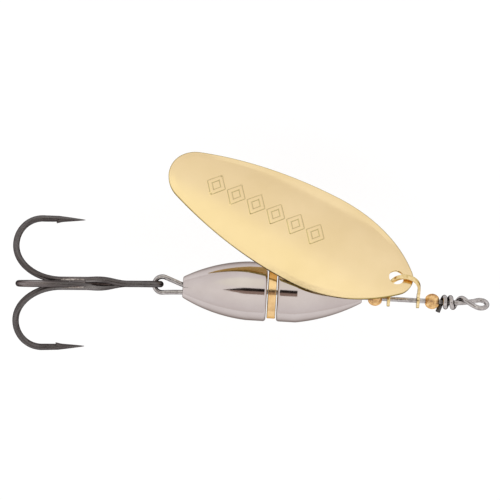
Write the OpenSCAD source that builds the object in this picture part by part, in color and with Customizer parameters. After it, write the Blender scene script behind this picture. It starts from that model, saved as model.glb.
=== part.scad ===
// Inline spinner: a weighted lure body, a dished blade on a clevis and a treble hook, all on one wire.
// Millimetres. The shaft runs along X, the line eye's opening is centred on the origin, +X leads.
// The lure lies on its side with +Z up: the blade leans on the body and the treble rests on two points.

/* [Shaft wire] */
// Diameter of the stainless wire
wire_d = 0.9; // [0.86:0.01:0.92]
// Radius of the line eye, at the middle of the wire
eye_r = 1.25; // [1.15:0.05:1.4]
// Turn of the line eye about the shaft, 0 lies flat
eye_turn = 54; // [40:1:65]
// Distance from one wrap to the next
wrap_pitch = 1.15; // [1.05:0.05:1.2]
// Length of the cut end that stands off the last wrap
tag_length = 2.1; // [1:0.1:2.5]
// Radius of the rear loop, at the middle of the wire
loop_r = 1.5; // [1.45:0.01:1.6]

/* [Weighted body] */
// Radius of the rear half
rear_r = 5.6; // [5.2:0.1:5.6]
// Radius of the front half
front_r = 5.5; // [5.2:0.1:5.5]
// Radius of the brass ring between the halves
ring_r = 5.02; // [4.6:0.02:5.1]
// Width of the brass ring
ring_w = 1.6; // [1.2:0.1:1.6]
// Length of the tapering part of each half
taper_length = 12.4; // [11.8:0.1:12.6]
// Radius of the round on the inner edge of each half
edge_round = 0.5; // [0.2:0.05:0.8]

/* [Blade] */
// Length of the blade, measured flat
blade_length = 51.1; // [49:0.1:51.5]
// Width of the blade at its widest
blade_width = 21.1; // [19:0.1:21.3]
// Sheet thickness
blade_t = 0.6; // [0.4:0.05:0.6]
// Radius of the dish across the blade
dish_across = 30; // [28:0.5:34]
// Radius of the dish along the blade
dish_along = 400; // [360:10:460]
// Radius of the hole for the clevis
blade_hole_r = 1.45; // [1.4:0.01:1.6]

/* [Clevis] */
// Width of the strap
strap_w = 1.0; // [0.8:0.05:1.05]
// Thickness of the strap
strap_t = 0.55; // [0.4:0.05:0.55]
// Height of the strap's top above the shaft, at its middle
clevis_h = 5.82; // [5.76:0.01:5.88]
// Radius of the two pierced ears
ear_r = 1.45; // [1.2:0.05:1.6]

/* [Beads] */
// Diameter of the brass beads
bead_d = 2.94; // [2.6:0.02:3]

/* [Treble hook] */
// Diameter of the hook wire
hook_d = 1.25; // [1.1:0.05:1.25]
// Height of a point above its shank
gape = 13.45; // [12:0.05:13.5]
// Radius of the hook eye, at the middle of the wire
hook_eye_r = 1.625; // [1.55:0.025:1.65]

/* [Hidden] */
$fn = 96;
tube_sides = 12;

// Stations along the shaft, behind the line eye
front_bead_x = -8.55;
clevis_x = -14.05;
rear_bead_x = -19.4;
nose_x = -22.2;
front_half_back_x = -38;
rear_half_front_x = -40;
tail_face_x = -56.2;
loop_end_x = -61.4;
nose_shoulder_x = nose_x - taper_length + 0.3;
tail_shoulder_x = tail_face_x + taper_length + 0.2;
bore_r = wire_d / 2 + 0.07;
bore_length = 30;

// Body: slope of each half at its shoulder, and radius of the arc that tapers it
rear_slope = 3.6;
rear_bow_r = 29.3;
front_slope = 8.5;
front_bow_r = 34;

// Shaft wire: straight part, crossing, eye and wraps
wire_r = wire_d / 2;
shaft_front_x = -4.2;
shaft_back_x = -53.3;
inner_wire_r = wire_r - 0.01;
outer_wire_r = wire_r + 0.01;
eye_x = 0.65;
crossing_x = -2.5;
wrap_r = wire_d + 0.05;
near_side = [0, -cos(eye_turn), sin(eye_turn)];
front_side = [0, sin(eye_turn), cos(eye_turn)];
eye_slope = asin(eye_r / (eye_x - crossing_x));
eye_half_turn = 90 + eye_slope;
camber_turn = 306;
wrap_start_x = -4.95;
wrap_turn = 540;

// Rear loop: the ring of the loop and the two legs that enter the body
loop_shift = 0.25;
loop_x = loop_end_x + loop_r;
main_leg_angle = 20;
tag_leg_angle = 7;
counterbore_r = 1.5;
counterbore_depth = 3.8;
tag_leg_y = -(wire_d + 0.05);
tag_leg_end_x = -53;

// Blade: place, tilt and the arcs of its outline
hole_at = [-15.75, 4.1, 3.16];
blade_tilt = [29.2, 4.7, 156.2];
hole_to_tip = 3.2;
widest_at = 17;
crest_at = 20;
front_end_r = 3.7;
far_end_r = 5.7;
front_end_x = front_end_r - hole_to_tip;
far_end_x = blade_length - hole_to_tip - far_end_r;
half_width = blade_width / 2;
dish_arc = 11;
under_blade = 7;
cut_height = 9;

// Clevis: the strap leans towards the side on which the blade lies
clevis_lean = 41.4;
strap_bend_r = 2.8;

// Treble: it hangs in the rear loop, turned and raised until its lower points rest
treble_at = [loop_end_x, loop_shift, 0];
treble_yaw = 2.7;
treble_rise = 6.7;
hook_r = hook_d / 2;
hook_eye_x = hook_eye_r - wire_r - hook_r - 0.06;
strand_gap = 0.025;
neck_offset = hook_r + strand_gap;
neck_start = 3;
twist_start = 5;
twist_end = 12.6;
twist_bulge = 0.16;
pair_drop = 0.37;
single_rise = 0.75;
single_start = 13.2;
bend_start = 17.6;
bend_back = 26.1;
bend_middle = 7.3;
bend_top = 20.9;
point_start = 17.4;
point_end = 12.8;
point_drop = 0.25;
point_r = 0.06;
splay = 30;
braze_r = 0.88;
braze_core_r = 0.47;

function unit(v) = v / norm(v);
function clamp01(u) = max(0, min(1, u));
function ease(u) = let (c = clamp01(u)) c * c * (3 - 2 * c);

// Cubic from p to q that leaves along a and arrives along b
function hermite(p, a, q, b, u) =
    (2 * pow(u, 3) - 3 * u * u + 1) * p + (pow(u, 3) - 2 * u * u + u) * a
    + (3 * u * u - 2 * pow(u, 3)) * q + (pow(u, 3) - u * u) * b;
function curve(p, a, q, b, n) = [for (i = [1:n]) hermite(p, a, q, b, i / n)];

// Direction of a path at one of its points
function heading(p, i) = unit(p[min(i + 1, len(p) - 1)] - p[max(i - 1, 0)]);

// Turns n by the rotation that takes heading a to heading b, so that a tube does not twist
function carried(n, a, b) =
    let (v = cross(a, b)) n + cross(v, n) + cross(v, cross(v, n)) / (1 + a * b);
function sides_along(p, first) =
    [for (i = 0, n = first;
          i < len(p);
          n = i + 1 < len(p) ? carried(n, heading(p, i), heading(p, i + 1)) : n, i = i + 1) n];

// Round tube through the points p, with one radius in r for each point
module tube(p, r, first) {
    n = sides_along(p, first);
    m = tube_sides;
    rings = [for (i = [0:len(p) - 1], k = [0:m - 1])
        p[i] + r[i] * (cos(360 * k / m) * n[i] + sin(360 * k / m) * cross(heading(p, i), n[i]))];
    walls = [for (i = [0:len(p) - 2], k = [0:m - 1])
        let (a = i * m + k, b = i * m + (k + 1) % m) [a, a + m, b + m, b]];
    ends = [[for (k = [0:m - 1]) k], [for (k = [m - 1:-1:0]) (len(p) - 1) * m + k]];
    polyhedron(points = rings, faces = concat(walls, ends), convexity = 10);
}

// A point of the line eye's plane: x along the shaft, s towards the near side
function in_eye(x, s) = [x, 0, 0] + s * near_side;
function around_shaft(x, turn, r) = [x, 0, 0] + r * (cos(turn) * near_side + sin(turn) * front_side);

// The return strand starts over the crossing and tightens into even wraps
function wrap_x(turn) =
    let (u = clamp01(turn / camber_turn), even = wrap_pitch * camber_turn / 360,
         rest = crossing_x - wrap_start_x - even)
    turn < camber_turn
        ? crossing_x - even * u - rest * (1 - (1 - u) * (1 - u))
        : wrap_start_x - wrap_pitch * (turn - camber_turn) / 360;

function front_path() =
    let (start = [[shaft_front_x - 2, 0, 0], [shaft_front_x - 0.2, 0, 0], [shaft_front_x + 0.1, 0, 0]],
         eye_far = in_eye(eye_x + eye_r * cos(eye_half_turn), -eye_r * sin(eye_half_turn)),
         eye_near = in_eye(eye_x + eye_r * cos(eye_half_turn), eye_r * sin(eye_half_turn)),
         out = 4 * [cos(eye_slope), 0, 0] - 4 * sin(eye_slope) * near_side,
         back = -3 * [cos(eye_slope), 0, 0] - 3 * sin(eye_slope) * near_side,
         over = around_shaft(crossing_x, 90, wrap_r),
         along = 12 * (around_shaft(wrap_x(6), 96, wrap_r) - over),
         last = camber_turn + wrap_turn,
         tag = around_shaft(wrap_x(last), 90 + last, wrap_r),
         tag_way = unit(tag - around_shaft(wrap_x(last - 12), 78 + last, wrap_r)))
    concat(start,
           curve(start[2], [4.2, 0, 0], eye_far, out, 9),
           [for (a = [eye_half_turn - 15:-15:-eye_half_turn + 8])
               in_eye(eye_x + eye_r * cos(a), -eye_r * sin(a))],
           [eye_near],
           curve(eye_near, back, over, along, 8),
           [for (a = [18:18:last]) around_shaft(wrap_x(a), 90 + a, wrap_r)],
           [tag + tag_length / 2 * tag_way, tag + tag_length * tag_way]);

function rear_path() =
    let (start = [[shaft_back_x + 2, 0, 0], [shaft_back_x + 0.2, 0, 0], [shaft_back_x - 0.1, 0, 0]],
         ring = [loop_x, loop_shift, 0],
         high = ring + loop_r * [sin(main_leg_angle), cos(main_leg_angle), 0],
         low = ring + loop_r * [sin(tag_leg_angle), -cos(tag_leg_angle), 0],
         main_way = [-cos(main_leg_angle), sin(main_leg_angle), 0],
         tag_way = [cos(tag_leg_angle), sin(tag_leg_angle), 0],
         bend = high - 3 * main_way,
         settle = [tail_face_x + 1.9, tag_leg_y, 0])
    concat(start,
           curve(start[2], [-2, 0, 0], bend, 3 * main_way, 6),
           [high],
           [for (a = [90 - main_leg_angle + 15:15:270 + tag_leg_angle - 8])
               ring + loop_r * [cos(a), sin(a), 0]],
           [low],
           curve(low, 4 * tag_way, settle, [4, 0, 0], 7),
           [[tag_leg_end_x, tag_leg_y, 0]]);

// Radii that start inside the straight part of the shaft
function wire_radii(p) = [for (i = [0:len(p) - 1]) i < 2 ? inner_wire_r : outer_wire_r];

module shaft_wire() {
    front = front_path();
    rear = rear_path();
    color("silver")
    union() {
        translate([shaft_back_x, 0, 0])
            rotate([0, 90, 0])
            cylinder(r = wire_r, h = shaft_front_x - shaft_back_x);
        tube(front, wire_radii(front), near_side);
        tube(rear, wire_radii(rear), [0, 1, 0]);
    }
}

module bored_bead(x) {
    color("goldenrod")
    translate([x, 0, 0])
    rotate([0, 90, 0])
    difference() {
        intersection() {
            sphere(d = bead_d);
            cylinder(d = bead_d + 1, h = 0.88 * bead_d, center = true);
        }
        cylinder(r = bore_r, h = bead_d + 1, center = true);
    }
}

module front_bead() {
    bored_bead(front_bead_x);
}

module rear_bead() {
    bored_bead(rear_bead_x);
}

// Half of the body's section: a rounded inner edge, a short parallel part, a shoulder and an arc
module half_section(r, parallel, slope, bow_r) {
    intersection() {
        union() {
            translate([0, edge_round])
                square([r, parallel - edge_round]);
            square([r - edge_round, parallel]);
            translate([r - edge_round, edge_round])
                circle(r = edge_round);
            intersection() {
                translate([0, parallel - 0.01])
                    square([r, taper_length]);
                translate([r - bow_r * cos(slope), parallel - bow_r * sin(slope)])
                    circle(r = bow_r, $fn = 360);
            }
        }
        square([r + 1, parallel + taper_length]);
    }
}

module rear_body() {
    parallel = rear_half_front_x - tail_shoulder_x;
    color("lightgray")
    difference() {
        translate([rear_half_front_x, 0, 0])
            rotate([0, -90, 0])
            rotate_extrude()
            half_section(rear_r, parallel, rear_slope, rear_bow_r);
        translate([tail_face_x - 1, 0, 0])
            rotate([0, 90, 0])
            cylinder(r = bore_r, h = bore_length);
        translate([tail_face_x - 1, 0, 0])
            rotate([0, 90, 0])
            cylinder(r = counterbore_r, h = counterbore_depth + 1);
    }
}

module front_body() {
    parallel = nose_shoulder_x - front_half_back_x;
    color("lightgray")
    difference() {
        translate([front_half_back_x, 0, 0])
            rotate([0, 90, 0])
            rotate_extrude()
            half_section(front_r, parallel, front_slope, front_bow_r);
        translate([front_half_back_x - 1, 0, 0])
            rotate([0, 90, 0])
            cylinder(r = bore_r, h = bore_length);
    }
}

module band_ring() {
    color("gold")
    translate([(front_half_back_x + rear_half_front_x) / 2, 0, 0])
    rotate([0, 90, 0])
    difference() {
        cylinder(r = ring_r, h = ring_w, center = true);
        cylinder(r = bore_r, h = ring_w + 1, center = true);
    }
}

// Radius of a flank that touches the widest point and an end circle of radius r at distance run
function flank_r(run, r) = (run * run + half_width * half_width - r * r) / (2 * (half_width - r));

// One flank of the outline, from its tangent points on an end circle to just past the widest place
module flank(end_x, end_r, past) {
    big = flank_r(end_x - widest_at, end_r);
    touch = widest_at + (end_x - widest_at) * big / (big - end_r);
    intersection() {
        translate([widest_at, half_width - big])
            circle(r = big, $fn = 360);
        translate([widest_at, big - half_width])
            circle(r = big, $fn = 360);
        translate([min(touch, widest_at), -half_width - 1])
            square([abs(touch - widest_at) + past, blade_width + 2]);
    }
}

module blade_outline() {
    translate([front_end_x, 0])
        circle(r = front_end_r);
    translate([far_end_x, 0])
        circle(r = far_end_r);
    flank(front_end_x, front_end_r, 1);
    flank(far_end_x, far_end_r, 0);
}

// Sheet that curves gently along the blade and more strongly across it
module dished_sheet() {
    translate([crest_at, 0, -dish_along])
        rotate([0, -90, -90])
        rotate([0, 0, -dish_arc / 2])
        rotate_extrude(angle = dish_arc, $fn = 360)
        intersection() {
            translate([dish_along - dish_across, 0])
                difference() {
                    circle(r = dish_across, $fn = 180);
                    circle(r = dish_across - blade_t, $fn = 180);
                }
            translate([dish_along - under_blade + 1, -blade_width / 2 - 1])
                square([under_blade, blade_width + 2]);
        }
}

module blade() {
    hole_height = sqrt(pow(dish_along - blade_t / 2, 2) - crest_at * crest_at) - dish_along;
    color("gold")
    translate(hole_at)
    rotate(blade_tilt)
    translate([0, 0, -hole_height])
    difference() {
        intersection() {
            dished_sheet();
            translate([0, 0, -under_blade])
                linear_extrude(cut_height)
                blade_outline();
        }
        translate([0, 0, -under_blade])
            cylinder(r = blade_hole_r, h = cut_height);
    }
}

module clevis() {
    leg = clevis_h - strap_bend_r;
    color("gold")
    translate([clevis_x, 0, 0])
    rotate([clevis_lean - 90, 0, 0])
    difference() {
        union() {
            translate([0, 0, leg])
                rotate([90, 0, 0])
                rotate_extrude(angle = 180)
                translate([strap_bend_r - strap_t / 2, -strap_w / 2])
                square([strap_t, strap_w]);
            for (side = [-1, 1]) {
                translate([side * strap_bend_r - strap_t / 2, -strap_w / 2, 0])
                    cube([strap_t, strap_w, leg]);
                translate([side * strap_bend_r - strap_t / 2, 0, 0])
                    rotate([0, 90, 0])
                    cylinder(r = ear_r, h = strap_t);
            }
        }
        translate([-2 * strap_bend_r, 0, 0])
            rotate([0, 90, 0])
            cylinder(r = bore_r, h = 4 * strap_bend_r);
    }
}

// Places the treble: its own +X runs from the loop towards the bends
module treble_frame() {
    translate(treble_at)
        rotate([0, 0, 180 + treble_yaw])
        rotate([0, -treble_rise, 0])
        children();
}

// Bend and spear of one hook: distance along the shank and height above it
function bend_path() =
    concat([for (a = [10:10:90]) [bend_start + (bend_back - bend_start) * sin(a), bend_middle * (1 - cos(a))]],
           [for (a = [10:10:90]) [bend_top + (bend_back - bend_top) * cos(a),
                                  bend_middle + (gape - bend_middle) * sin(a)]],
           [for (u = [0:0.25:1]) let (x = point_start + (point_end - point_start) * u)
               [x, gape - point_drop * (bend_top - x) / (bend_top - point_end)]]);
function hook_radii(n, plain) =
    [for (i = [0:n - 1]) i < plain ? hook_r * 1.02
        : let (u = (i - plain) / (n - plain - 1)) hook_r * 1.02 * (1 - u) + point_r * u];

// One of the paired wires from the eye's neck to its point; s is 1 or -1
function strand(s) =
    concat([for (x = [twist_start + 0.4:0.75:twist_end])
               let (u = (x - twist_start) / (twist_end - twist_start), turn = 90 * (1 - ease(u)),
                    away = neck_offset + twist_bulge * sin(180 * clamp01(u)))
               [x, -s * away * cos(turn), s * away * sin(turn) - pair_drop * ease(u)]],
           [for (x = [twist_end + 0.4, bend_start]) [x, -s * neck_offset, -pair_drop]],
           [for (b = bend_path())
               [b[0], -s * (neck_offset + b[1] * cos(splay)), -pair_drop - b[1] * sin(splay)]]);

// The eye from its front round to the neck; s picks the upper or the lower half
function eye_half(s) =
    let (a = 140, p = [hook_eye_x - hook_eye_r * cos(a), 0, s * hook_eye_r * sin(a)],
         way = [sin(a), 0, s * cos(a)])
    concat([for (t = [14:14:a]) [hook_eye_x - hook_eye_r * cos(t), 0, s * hook_eye_r * sin(t)]],
           curve(p, 1.3 * way, [neck_start, 0, s * neck_offset], [1.3, 0, 0], 5),
           [[twist_start, 0, s * neck_offset]]);

function reversed(p) = [for (i = [len(p) - 1:-1:0]) p[i]];

module double_hook() {
    arm = concat(eye_half(1), strand(1));
    other = concat(eye_half(-1), strand(-1));
    path = concat(reversed(other), [[hook_eye_x - hook_eye_r, 0, 0]], arm);
    radii = hook_radii(len(arm), len(arm) - 5);
    color("dimgray")
    treble_frame()
    tube(path, concat(reversed(radii), [hook_r * 1.02], radii), [0, -sin(splay), cos(splay)]);
}

module single_hook() {
    path = concat([[single_start, 0, single_rise], [bend_start, 0, single_rise]],
                  [for (b = bend_path()) [b[0], 0, single_rise + b[1]]]);
    color("dimgray")
    treble_frame()
    tube(path, hook_radii(len(path), len(path) - 5), [0, 0, 1]);
}

module hook_braze() {
    color("dimgray")
    treble_frame()
    translate([single_start + 0.3, 0, 0])
    rotate([0, 90, 0])
    linear_extrude(bend_start - single_start - 0.6)
    difference() {
        circle(r = braze_r);
        circle(r = braze_core_r);
        translate([-single_rise, 0])
            circle(r = hook_r * 1.05);
        for (s = [-1, 1])
            translate([pair_drop, s * neck_offset])
                circle(r = hook_r * 1.05);
    }
}

shaft_wire();
front_bead();
clevis();
blade();
rear_bead();
front_body();
band_ring();
rear_body();
double_hook();
single_hook();
hook_braze();
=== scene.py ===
"""Looks of an inline spinner: formed wire, turned beads and body, stamped blade and forged treble.

Every piece takes the place of one CAD node and rides on that node's body. Lengths are in
millimetres until Shape.piece() turns them into metres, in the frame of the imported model.
"""

import math

import bpy
from mathutils import Matrix, Vector


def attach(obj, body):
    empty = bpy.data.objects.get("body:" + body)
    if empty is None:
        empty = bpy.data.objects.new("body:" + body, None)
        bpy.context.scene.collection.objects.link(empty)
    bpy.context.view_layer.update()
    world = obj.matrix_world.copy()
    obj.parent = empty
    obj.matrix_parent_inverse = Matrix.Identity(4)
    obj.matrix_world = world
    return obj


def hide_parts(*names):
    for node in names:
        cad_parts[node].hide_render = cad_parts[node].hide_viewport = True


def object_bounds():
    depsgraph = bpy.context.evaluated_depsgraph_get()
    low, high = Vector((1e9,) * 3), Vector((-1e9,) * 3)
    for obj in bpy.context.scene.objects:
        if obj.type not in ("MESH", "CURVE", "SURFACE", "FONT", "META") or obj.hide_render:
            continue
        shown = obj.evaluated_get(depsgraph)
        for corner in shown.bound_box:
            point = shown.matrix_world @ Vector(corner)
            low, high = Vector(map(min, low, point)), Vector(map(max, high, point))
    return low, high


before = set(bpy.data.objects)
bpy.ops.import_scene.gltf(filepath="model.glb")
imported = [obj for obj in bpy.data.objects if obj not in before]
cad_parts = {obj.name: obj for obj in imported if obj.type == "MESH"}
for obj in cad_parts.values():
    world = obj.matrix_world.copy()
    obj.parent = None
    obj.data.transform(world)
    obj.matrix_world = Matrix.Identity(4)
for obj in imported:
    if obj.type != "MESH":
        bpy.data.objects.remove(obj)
cad_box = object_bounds()

MM = 0.001

# Stations along the shaft, behind the line eye's opening
FRONT_BEAD_X = -8.55
CLEVIS_X = -14.05
REAR_BEAD_X = -19.4
NOSE_SHOULDER_X = -34.3
FRONT_HALF_BACK_X = -38.0
RING_X = -39.0
REAR_HALF_FRONT_X = -40.0
TAIL_SHOULDER_X = -43.6
TAIL_FACE_X = -56.2
LOOP_END_X = -61.4

WIRE_R = 0.449
BORE_R = 0.52

# Weighted body: the slope at each half's shoulder, and the radius of the arc that tapers it
TAPER_LENGTH = 12.4
INNER_EDGE_R = 0.5
REAR_R = 5.594
REAR_SLOPE = 3.6
REAR_BOW_R = 29.3
REAR_END_ROUND = 0.2
COUNTERBORE_R = 1.5
COUNTERBORE_DEPTH = 3.8
FRONT_R = 5.5
FRONT_SLOPE = 8.5
FRONT_BOW_R = 34
FRONT_END_ROUND = 0.22
FACE_SLACK = 0.01

# Ring and beads
RING_R = 5.02
RING_WIDTH = 1.6
RING_EDGE = 0.14
BEAD_R = 1.47
BEAD_FLAT = 0.88  # share of the radius at which the ends are cut flat
BEAD_BALL_FROM = 31.5  # degrees from the axis
BEAD_END_R = 0.66
BEAD_CHAMFER = 0.12

# Line eye and wraps
EYE_TURN = 54.0
EYE_R = 1.25
EYE_X = 0.65
CROSSING_X = -2.5
WRAP_R = 0.95
WRAP_PITCH = 1.15
WRAP_START_X = -4.95
CAMBER_TURN = 306.0
WRAP_TURN = 540.0
TAG_LENGTH = 2.1
WRAP_STEP = 0.75  # share of each wrap's advance that happens on its far side

# Straight part of the shaft wire, and where the two formed ends leave it
STRAIGHT_BACK_X = -53.0
STRAIGHT_FRONT_X = -4.4
REAR_FORM_X = -53.4
FRONT_FORM_X = -4.1

# Rear loop
LOOP_R = 1.5
LOOP_SHIFT = 0.25
MAIN_LEG_ANGLE = 20.0
TAG_LEG_ANGLE = 7.0
TAG_LEG_Y = -0.95
TAG_LEG_END_X = -53.0
TAG_LEG_SETTLE = 1.9

# Darkening of the wire: where the wraps are, how near the shaft they touch it, and how dark each
# is; where the wraps touch and at the tag end it is painted shade
WRAPS_BACK_X = -7.2
WRAPS_FRONT_X = -4.4
TOUCH_R = 1.12
TOUCH_FADE = 0.34
LOOP_DARKENING = 0.12
TAG_PAINTED_SHADOW = 0.95

# Blade
BLADE_LENGTH = 51.04
HALF_WIDTH = 10.53
BLADE_T = 0.6
DISH_ACROSS = 30.0
DISH_ALONG = 400.0
BLADE_HOLE_R = 1.45
HOLE_TO_TIP = 3.2
WIDEST_AT = 17.0
CREST_AT = 20.0
FRONT_END_R = 3.7
FAR_END_R = 5.7
HOLE_AT = Vector((-15.75, 4.1, 3.16))
BLADE_TILT = (29.2, 4.7, 156.2)

# Clevis
CLEVIS_LEAN = 41.4
STRAP_BEND_R = 2.8
CLEVIS_TOP = 5.82
STRAP_T = 0.55
STRAP_HALF_WIDTH = 0.5
STRAP_WAIST = 0.05
EAR_R = 1.45
EAR_ROOT = 1.9  # distance from the ear's hole to where the strap begins

# Treble, in its own frame: +X runs from the eye towards the bends
TREBLE_YAW = 2.7
TREBLE_RISE = 6.7
HOOK_R = 0.618
HOOK_EYE_R = 1.625
HOOK_EYE_X = 0.49
NECK_OFFSET = 0.65
NECK_START = 3.0
TWIST_START = 5.0
TWIST_END = 12.6
TWIST_BULGE = 0.16
PAIR_DROP = 0.37
SINGLE_RISE = 0.75
SINGLE_START = 13.2
BEND_START = 17.6
BEND_BACK = 26.1
BEND_MIDDLE = 7.3
GAPE = 13.45
BEND_TOP = 20.9
POINT_START = 17.4
POINT_END = 12.8
POINT_DROP = 0.25
POINT_R = 0.055
SPLAY = 30.0


def sin(degrees):
    return math.sin(math.radians(degrees))


def cos(degrees):
    return math.cos(math.radians(degrees))


def clamp01(u):
    return max(0.0, min(1.0, u))


def ease(u):
    c = clamp01(u)
    return c * c * (3 - 2 * c)


def steps(first, last, count):
    """count + 1 even values from first to last."""
    return [first + (last - first) * i / count for i in range(count + 1)]


# ---------------------------------------------------------------- mesh building


class Shape:
    """Points, faces and, for each face corner, a place (along, around) on the surface."""

    def __init__(self):
        self.points = []
        self.faces = []
        self.places = []

    def face(self, corners, places=None):
        self.faces.append(corners)
        self.places.append(places or [(0.0, 0.0)] * len(corners))

    def rows(self, rows, along, around, closed=True):
        """Quads between rows of points; closed joins each row's last point to its first."""
        start = len(self.points)
        columns = len(rows[0])
        for row in rows:
            self.points.extend(row)
        for i in range(len(rows) - 1):
            for k in range(columns if closed else columns - 1):
                a = start + i * columns + k
                b = start + i * columns + (k + 1) % columns
                u, v = around * k / columns, around * (k + 1) / columns
                self.face(
                    (a, b, b + columns, a + columns),
                    [(along[i], u), (along[i], v), (along[i + 1], v), (along[i + 1], u)],
                )
        return start

    def piece(self, name, node, body, slot, material, place=Matrix.Identity(4), sharp=35.0):
        """Makes the object, stands it in for its CAD node and sets it on its body."""
        mesh = bpy.data.meshes.new(name)
        mesh.from_pydata([(place @ Vector(p)) * MM for p in self.points], [], self.faces)
        layer = mesh.uv_layers.new(name="surface")
        flat = [x for places in self.places for uv in places for x in uv]
        layer.data.foreach_set("uv", flat)
        mesh.materials.append(material)
        mesh.shade_smooth()
        mesh.update()
        mesh.set_sharp_from_angle(angle=math.radians(sharp))
        obj = bpy.data.objects.new(name, mesh)
        bpy.context.scene.collection.objects.link(obj)
        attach(obj, body)
        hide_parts(node)
        return obj


def headings(path):
    last = len(path) - 1
    return [(path[min(i + 1, last)] - path[max(i - 1, 0)]).normalized() for i in range(len(path))]


def carried_sides(ways, first):
    """One direction square to the path at each point, carried along it without twist."""
    side = (first - first.dot(ways[0]) * ways[0]).normalized()
    sides = [side]
    for a, b in zip(ways, ways[1:]):
        side = a.rotation_difference(b) @ side
        sides.append(side)
    return sides


def path_lengths(path):
    lengths = [0.0]
    for a, b in zip(path, path[1:]):
        lengths.append(lengths[-1] + (b - a).length)
    return lengths


def tube(shape, path, radii, first, sides=28, shift=None):
    """Round tube through path; shift(i, out) may move the point of ring i whose normal is out."""
    ways = headings(path)
    normals = carried_sides(ways, first)
    rings = []
    for i, (p, way, n) in enumerate(zip(path, ways, normals)):
        m = way.cross(n)
        ring = []
        for k in range(sides):
            out = cos(360 * k / sides) * n + sin(360 * k / sides) * m
            q = p + radii[i] * out
            ring.append(q + shift(i, out) if shift else q)
        rings.append(ring)
    start = shape.rows(rings, path_lengths(path), math.tau * max(radii))
    shape.face(tuple(start + k for k in range(sides))[::-1])
    end = start + (len(rings) - 1) * sides
    shape.face(tuple(end + k for k in range(sides)))


def cut_end(path, radii, chamfer=0.06):
    """Path and radii with a small chamfer worked onto the last end."""
    way = (path[-1] - path[-2]).normalized()
    path = path[:-1] + [path[-1] - chamfer * way, path[-1]]
    return path, radii[:-1] + [radii[-1], radii[-1] - chamfer]


def hermite(p, a, q, b, count):
    """Cubic from p, leaving along a, to q, arriving along b; p itself is left out."""
    out = []
    for i in range(1, count + 1):
        u = i / count
        out.append(
            (2 * u**3 - 3 * u * u + 1) * p
            + (u**3 - 2 * u * u + u) * a
            + (3 * u * u - 2 * u**3) * q
            + (u**3 - u * u) * b
        )
    return out


def lathe(shape, profile, sides=144):
    """Turns a closed profile of (x, radius) points about the X axis, with its faces outwards."""
    if sum(a[0] * b[1] - b[0] * a[1] for a, b in zip(profile, profile[1:] + profile[:1])) > 0:
        profile = profile[::-1]
    rows = [
        [Vector((x, r * cos(360 * k / sides), r * sin(360 * k / sides))) for k in range(sides)]
        for x, r in profile + profile[:1]
    ]
    along = path_lengths([Vector((x, r, 0)) for x, r in profile + profile[:1]])
    shape.rows(rows, along, math.tau * max(r for x, r in profile))
    # the last row repeats the first, so its points are merged onto it
    last = len(profile) * sides
    shape.faces = [tuple(i - last if i >= last else i for i in f) for f in shape.faces]
    del shape.points[last:]


def fan(shape, rim, hole_r, shares, point, joined, flip=False):
    """Quads from a hole out to a rim of flat places; the rim's first ones use the points joined."""
    start, count = len(shape.points), len(shares)
    for u, v in rim:
        size = math.hypot(u, v)
        for share in shares:
            r = hole_r + (size - hole_r) * share
            shape.points.append(point(r * u / size, r * v / size))
    outer = list(joined)
    for u, v in rim[len(outer) :]:
        outer.append(len(shape.points))
        shape.points.append(point(u, v))
    for j in range(len(rim)):
        k = (j + 1) % len(rim)
        for i in range(count):
            a, b = start + j * count + i, start + k * count + i
            a2, b2 = (a + 1, b + 1) if i < count - 1 else (outer[j], outer[k])
            shape.face((a, a2, b2, b) if flip else (a, b, b2, a2))


def rounded(centre, radius, start, end, count):
    """Points (x, r) of an arc in the profile's plane, angles measured from +x."""
    return [
        (centre[0] + radius * cos(a), centre[1] + radius * sin(a)) for a in steps(start, end, count)
    ]


# ---------------------------------------------------------------- shaft wire

NEAR_SIDE = Vector((0, -cos(EYE_TURN), sin(EYE_TURN)))
FRONT_SIDE = Vector((0, sin(EYE_TURN), cos(EYE_TURN)))


def in_eye(x, s):
    """A point of the line eye's plane."""
    return Vector((x, 0, 0)) + s * NEAR_SIDE


def around_shaft(x, turn, r):
    return Vector((x, 0, 0)) + r * (cos(turn) * NEAR_SIDE + sin(turn) * FRONT_SIDE)


def wrap_x(turn):
    """Where along the shaft the return strand has got to after this turn."""
    if turn >= CAMBER_TURN:
        on = turn - CAMBER_TURN
        return WRAP_START_X - WRAP_PITCH * (on / 360 - WRAP_STEP * sin(on) / math.tau)
    even = WRAP_PITCH * CAMBER_TURN / 360
    u = turn / CAMBER_TURN
    return CROSSING_X - even * u - (CROSSING_X - WRAP_START_X - even) * (1 - (1 - u) ** 2)


def front_path():
    """From the shaft round the line eye, over the crossing, round the wraps to the cut end."""
    slope = math.degrees(math.asin(EYE_R / (EYE_X - CROSSING_X)))
    half_turn = 90 + slope
    start = Vector((FRONT_FORM_X, 0, 0))

    def on_eye(a):
        return in_eye(EYE_X + EYE_R * cos(a), -EYE_R * sin(a))

    leave = 4 * (Vector((cos(slope), 0, 0)) - sin(slope) * NEAR_SIDE)
    back = -3 * (Vector((cos(slope), 0, 0)) + sin(slope) * NEAR_SIDE)
    over = around_shaft(CROSSING_X, 90, WRAP_R)
    along = 24 * (around_shaft(wrap_x(3), 93, WRAP_R) - over)
    last = CAMBER_TURN + WRAP_TURN
    tag = around_shaft(wrap_x(last), 90 + last, WRAP_R)
    tag_way = (tag - around_shaft(wrap_x(last - 6), 84 + last, WRAP_R)).normalized()
    path = [start] + hermite(start, Vector((4.2, 0, 0)), on_eye(half_turn), leave, 24)
    path += [on_eye(a) for a in steps(half_turn, -half_turn, 48)[1:]]
    path += hermite(path[-1], back, over, along, 22)
    path += [around_shaft(wrap_x(a), 90 + a, WRAP_R) for a in steps(0, last, 141)[1:]]
    path += [tag + TAG_LENGTH * u * tag_way for u in (0.25, 0.5, 0.75, 1.0)]
    return path


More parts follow.
